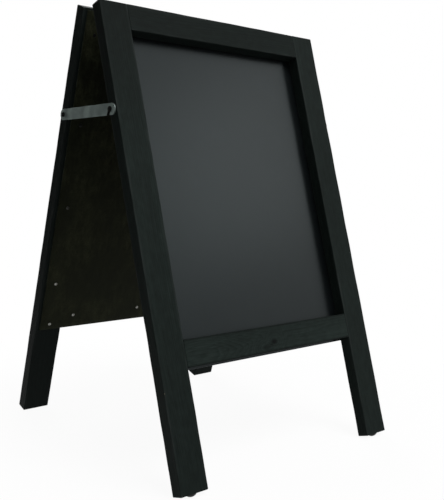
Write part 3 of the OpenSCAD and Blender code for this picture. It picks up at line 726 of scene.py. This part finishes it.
def domeProfile(form, rings=14):
    # pole of the head, its dome, a small lip, the flat underside, the shank and its point
    turn = np.linspace(0, 1, rings)
    r = form["headD"] / 2 * np.sin(turn * np.pi / 2)
    h = lip["high"] + (form["headH"] - lip["high"]) * np.cos(turn * np.pi / 2) ** 0.9
    under = [(form["headD"] / 2, lip["foot"]), (form["headD"] / 2 - lip["foot"], 0.0), (form["shankD"] / 2, 0.0)]
    return np.array(list(zip(r, h)) + under + shankProfile(form))


def flatProfile(form, rings=8):  # countersunk head: flat top, cone, shank, point
    edge = form["headD"] / 2
    top = [(r, 0.0) for r in edge * np.linspace(0, 1, rings)[:-1]]
    cone = [(edge - 0.12, -0.02), (edge, -0.15), (form["shankD"] / 2, -form["headDeep"])]
    return np.array(top + cone + shankProfile(form))


def crossDent(form, x, y, h):
    # depth of a cross recess: full within a narrow cross, easing out over its walls
    easing = form["easing"]
    arm, reach = np.minimum(abs(x), abs(y)), np.hypot(x, y)
    wall = np.clip((form["crossWide"] / 2 + easing / 2 - arm) / easing, 0, 1)
    wall = wall * np.clip((form["crossReach"] - reach) / form["endEasing"], 0, 1)
    return np.where(h > form["rim"], form["crossDeep"] * wall, 0)


def slotDent(form, x, y, h):
    # depth of a slot along x, which never cuts below its floor
    easing = form["easing"]
    wall = np.clip((form["slotWide"] / 2 + easing / 2 - abs(y)) / easing, 0, 1)
    return np.where(h > form["rim"], np.minimum(form["slotDeep"] * wall, np.clip(h - form["slotFloor"], 0, None)), 0)


def makeScrewSet(name, node, side, body, profile, dentShape, form, places, axis, material, tarnish=None):
    # every screw turned to an angle of its own, as a hand leaves them; the last argument gives each point its share of
    # the dark layer: painted shade on the panel screws, enamel black round a painted highlight on the stay screws
    chance = np.random.default_rng(len(name) * 31 + int(side * 7) + len(places))
    shapes = []
    for place in places:
        angle = chance.random() * np.pi

        def dent(x, y, h, c=math.cos(angle), s=math.sin(angle)):
            return dentShape(form, x * c + y * s, y * c - x * s, h)
        shapes.append(turnedShape(profile, screwAround, place, axis, dent))
    points, faces = joinShapes(shapes)
    placed = leanInto(points, side) if side else points / 1000
    attributes = {} if tarnish is None else {"tarnish": tarnish}
    return addPiece(name, placed, faces, body, node, [material], attributes, sharpAngle=32)


panelScrewPlaces = [(side * panelScrew["outAt"], panelScrew["seat"], panelForm["bottom"] + rise)
                    for side in (-1, 1) for rise in panelScrew["rises"]]
panelScrewPlaces += [(x, panelScrew["seat"], z) for x in panelScrew["across"] for z in panelScrew["high"]]
hingeScrewPlaces = [(side * hingeScrew["outAt"] + offset, row, hingeScrew["seat"])
                    for side in (-1, 1) for offset, row in hingeScrew["rows"]]
# painted shade: the upper screws are painted dark, fading out downwards, and the lower ones are bare
screwHeights = np.array([place[2] for place in panelScrewPlaces])
screwShadeByHeight = np.clip((screwHeights - panelScrew["shadedAbove"]) / panelScrew["shadeFade"] + 1, 0, 1)
for half, side in sides.items():
    profile = domeProfile(panelScrew)
    makeScrewSet(half + "_panel_screw_set", half + "_panel_screws", side, half + "_frame", profile, crossDent,
                 panelScrew, panelScrewPlaces, (0, -1, 0), dulledZinc,
                 np.repeat(screwShadeByHeight, len(profile) * screwAround))
    makeScrewSet(half + "_hinge_screw_set", half + "_hinge_screws", side, half + "_frame", flatProfile(hingeScrew),
                 crossDent, hingeScrew, hingeScrewPlaces, (0, 0, 1), brightZinc)
for use, body in (("hook", "front_frame"), ("pivot", "rear_frame")):
    for label, side in (("left", -1.0), ("right", 1.0)):
        node = "stay_" + label + "_" + use + "_screw"
        low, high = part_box(node)
        middle = (np.array(low) + np.array(high)) / 2 * 1000
        profile = domeProfile(stayScrew)
        # painted highlight: the crown stays grey, the rest of the head black
        blackRoundHighlight = np.clip((profile[:, 0] - stayScrew["highlightRadius"]) / stayScrew["highlightFade"], 0, 1)
        makeScrewSet(node + "_round", node, 0, body, profile, slotDent, stayScrew,
                     [(side * stayScrew["seat"], middle[1], middle[2])], (side, 0, 0), japanned,
                     np.repeat(blackRoundHighlight, screwAround))
print("screws made")

glideForm = {"wide": 26.0, "high": 7.0, "nailD": 3.0, "nailLong": 18.0, "nailPoint": 3.0, "lip": 0.3, "rim": 0.12,
             "rings": 26, "around": 64}


def makeGlide(name):
    # from the nail's point down its shank, out over the flat back, round the lip and over a cap of a sphere to the pole
    form, half = glideForm, name.split("_")[0]
    edge, shank = form["wide"] / 2, form["nailD"] / 2
    ball = (form["wide"] ** 2 / 4 + form["high"] ** 2) / (2 * form["high"])
    turn = np.linspace(math.asin(edge / ball), 0, form["rings"])
    cap = [(r, h) for r, h in zip(ball * np.sin(turn), ball * np.cos(turn) - (ball - form["high"])) if r < edge - 0.05]
    nail = [(0.0, -form["nailLong"]), (shank, -form["nailLong"] + form["nailPoint"]), (shank, 0.0)]
    profile = nail + [(edge - form["lip"], 0.0), (edge - form["rim"] / 2, form["rim"])] + cap
    place = (boardSizes["stile"]["x"] * (-1 if "left" in name else 1), midY, halfFrame["footZ"])
    points, faces = turnedShape(profile, form["around"], place, (0, 0, -1))
    points = leanInto(points, sides[half])
    points[:, 2] = np.maximum(points[:, 2], 0.0)  # worn flat where it stands
    return addPiece(name + "_dome", points, faces, half + "_frame", name, [glidePlastic],
                    sharpAngle=28)


# radius of the rounded edges in mm, and how many faces go round them
leafEdge, pinEdge, barEdge = (0.35, 2), (0.25, 2), (1.0, 3)
for half in sides:
    for label in ("left", "right"):
        makeGlide(half + "_glide_" + label)
        softenedCopy("hinge_" + label + "_" + half + "_leaf", *leafEdge, hingeZinc, "hinge_steel", half + "_frame")
    for materialSlot in frame["nodes"][half + "_dowels"].material_slots:
        materialSlot.material = beech
for label in ("left", "right"):
    softenedCopy("hinge_" + label + "_pin", *pinEdge, hingeZinc, "screw_steel", "front_frame")
    softenedCopy("stay_" + label + "_bar", *barEdge, dullZincBar, "galvanised_bar", label + "_stay")
print("glides, hinges and stays made")

# the camera stands where the photograph was taken: metres, degrees, and pixels of the photograph's frame
studio = {
    "cameraPlace": (-1.1806, -1.4856, 0.66735), "yaw": -41.365, "pitch": -8.166, "roll": 1.685,
    "focalPixels": 746.74, "centreX": 237.017, "centreY": 273.815, "imageWidth": 444, "imageHeight": 500,
    "ambience": 0.30,  # strength of the world's light on everything but what sees it
}


def makeCamera():
    yaw, pitch, roll = (math.radians(studio[k]) for k in ("yaw", "pitch", "roll"))
    forward = Vector((-math.sin(yaw) * math.cos(pitch), math.cos(yaw) * math.cos(pitch), math.sin(pitch)))
    right = forward.cross(Vector((0, 0, 1))).normalized()
    up = right.cross(forward)
    right, up = math.cos(roll) * right + math.sin(roll) * up, -math.sin(roll) * right + math.cos(roll) * up
    camera = addObject("camera", bpy.data.cameras.new("camera"))
    turn = Matrix((right, up, -forward)).transposed().to_4x4()
    camera.matrix_world = Matrix.Translation(studio["cameraPlace"]) @ turn
    longSide = studio["imageHeight"]
    camera.data.lens = studio["focalPixels"] * camera.data.sensor_width / longSide
    camera.data.shift_x = (studio["imageWidth"] / 2 - studio["centreX"]) / longSide
    camera.data.shift_y = (studio["centreY"] - studio["imageHeight"] / 2) / longSide
    camera.data.clip_start = 0.05
    bpy.context.scene.camera = camera


lamps = {
    "keyLamp": {"place": (0.5, -3.3, 6.3), "target": (0, 0, 0.5), "size": (3.5, 3.5), "watts": 320},
    "windowLamp": {"place": (5.85, -6.06, 4.8), "target": (0, -0.17, 0.62), "size": (2.43, 2.61), "watts": 52},
    "rearLamp": {"place": (1.6, 4.4, 4.6), "target": (0, 0.2, 0.5), "size": (3.0, 3.0), "watts": 110},
}


def makeLamp(name, facts):
    lamp = addObject(name, bpy.data.lights.new(name, "AREA"))
    lamp.data.shape, lamp.data.energy = "RECTANGLE", facts["watts"]
    lamp.data.size, lamp.data.size_y = facts["size"]
    lamp.location = facts["place"]
    towards = Vector(facts["target"]) - Vector(facts["place"])
    lamp.rotation_euler = towards.to_track_quat("-Z", "Y").to_euler()


blackCard = {"from": (-1.9, -0.5), "to": (-0.75, 1.75), "high": 2.2, "colour": "#090a09"}


def makeDarkCard():
    # black card to the left and behind, out of the camera's sight, which keeps the left-hand faces dark
    mesh = bpy.data.meshes.new("darkCard")
    corners = [(*blackCard[end], high) for end, high in (("from", 0.0), ("to", 0.0), ("to", blackCard["high"]),
                                                         ("from", blackCard["high"]))]
    mesh.from_pydata(corners, [], [(0, 1, 2, 3)])
    mesh.materials.append(newMaterial("blackCard", {"Roughness": 0.9, "Specular IOR Level": 0.0,
                                                    "Base Color": tint(blackCard["colour"])})[0])
    darkCard = addObject("darkCard", mesh)
    darkCard.visible_camera = False
    darkCard.visible_shadow = False


def seenWhite(tree):  # 1 for rays that see the background: straight from the camera, in gloss and through glass
    path = addNode(tree, "LightPath")
    seen = path.outputs["Is Camera Ray"]
    for ray in ("Is Glossy Ray", "Is Transmission Ray"):
        seen = addNode(tree, "Math", {"operation": "MAXIMUM"}, {0: seen, 1: path.outputs[ray]})
    return seen


def makeWorld():
    world = bpy.data.worlds.new("white studio")
    bpy.context.scene.world = world
    world.use_nodes = True
    tree = world.node_tree
    tree.nodes.clear()
    dim = addNode(tree, "Background", {"Color": tint("#ffffff"), "Strength": studio["ambience"]})
    white = addNode(tree, "Background", {"Color": tint("#ffffff"), "Strength": 1.0})
    mix = addNode(tree, "MixShader", links={0: seenWhite(tree), 1: dim, 2: white})
    addNode(tree, "OutputWorld", links={0: mix})


floorForm = {
    "radius": 30.0, "innerRadius": 0.2, "rings": 24, "spokes": 96,
    "colour": "#7c7c7c", "seenColour": "#f2f2f2",  # what lights the board from below, and what the eye sees
    "fadeFrom": 0.45, "fadeTo": 1.1, "fade": 0.945,  # metres from the middle, and the share of white up to there
}


def makeFloor():
    # pale paper that fades into the white background away from the board, and keeps the soft shadow under it
    form = floorForm
    r = np.concatenate([[0], np.geomspace(form["innerRadius"], form["radius"], form["rings"])])[:, None]
    angles = np.linspace(0, 2 * np.pi, form["spokes"], endpoint=False)
    points = np.stack([r * np.cos(angles), r * np.sin(angles), 0 * r * angles], -1).reshape(-1, 3)
    mesh = bpy.data.meshes.new("floor")
    mesh.from_pydata(points.tolist(), [], gridFaces(form["rings"] + 1, form["spokes"]).tolist())
    work = bmesh.new()
    work.from_mesh(mesh)
    bmesh.ops.remove_doubles(work, verts=work.verts, dist=mergeWithin)
    work.to_mesh(mesh)
    work.free()
    material, tree, shader = newMaterial("palePaperFloor", {"Roughness": 0.9, "Specular IOR Level": 0.0})
    seen = seenWhite(tree)
    paper = addNode(tree, "Mix", {"data_type": "RGBA", 6: tint(form["colour"]), 7: tint(form["seenColour"])}, {0: seen})
    tree.links.new(paper.outputs[2], shader.inputs["Base Color"])
    place = addNode(tree, "TexCoord")
    far = addNode(tree, "VectorMath", {"operation": "LENGTH"}, {0: place.outputs["Object"]})
    fade = addNode(tree, "MapRange", {"interpolation_type": "SMOOTHSTEP", 1: form["fadeFrom"], 2: form["fadeTo"],
                                      3: form["fade"], 4: 1.0}, {0: far.outputs["Value"]})
    share = addNode(tree, "Math", {"operation": "MULTIPLY"}, {0: fade, 1: seen})
    glow = addNode(tree, "Emission", {"Color": tint("#ffffff"), "Strength": 1.0})
    mix = addNode(tree, "MixShader", links={0: share, 1: shader, 2: glow})
    tree.links.new(mix.outputs[0], tree.nodes["Material Output"].inputs["Surface"])
    mesh.materials.append(material)
    addObject("floor", mesh)


makeCamera()
makeWorld()
makeFloor()
for lampName, lampFacts in lamps.items():
    makeLamp(lampName, lampFacts)
makeDarkCard()
bpy.context.scene.view_settings.view_transform = "Standard"
print("stage, lamps and camera made")
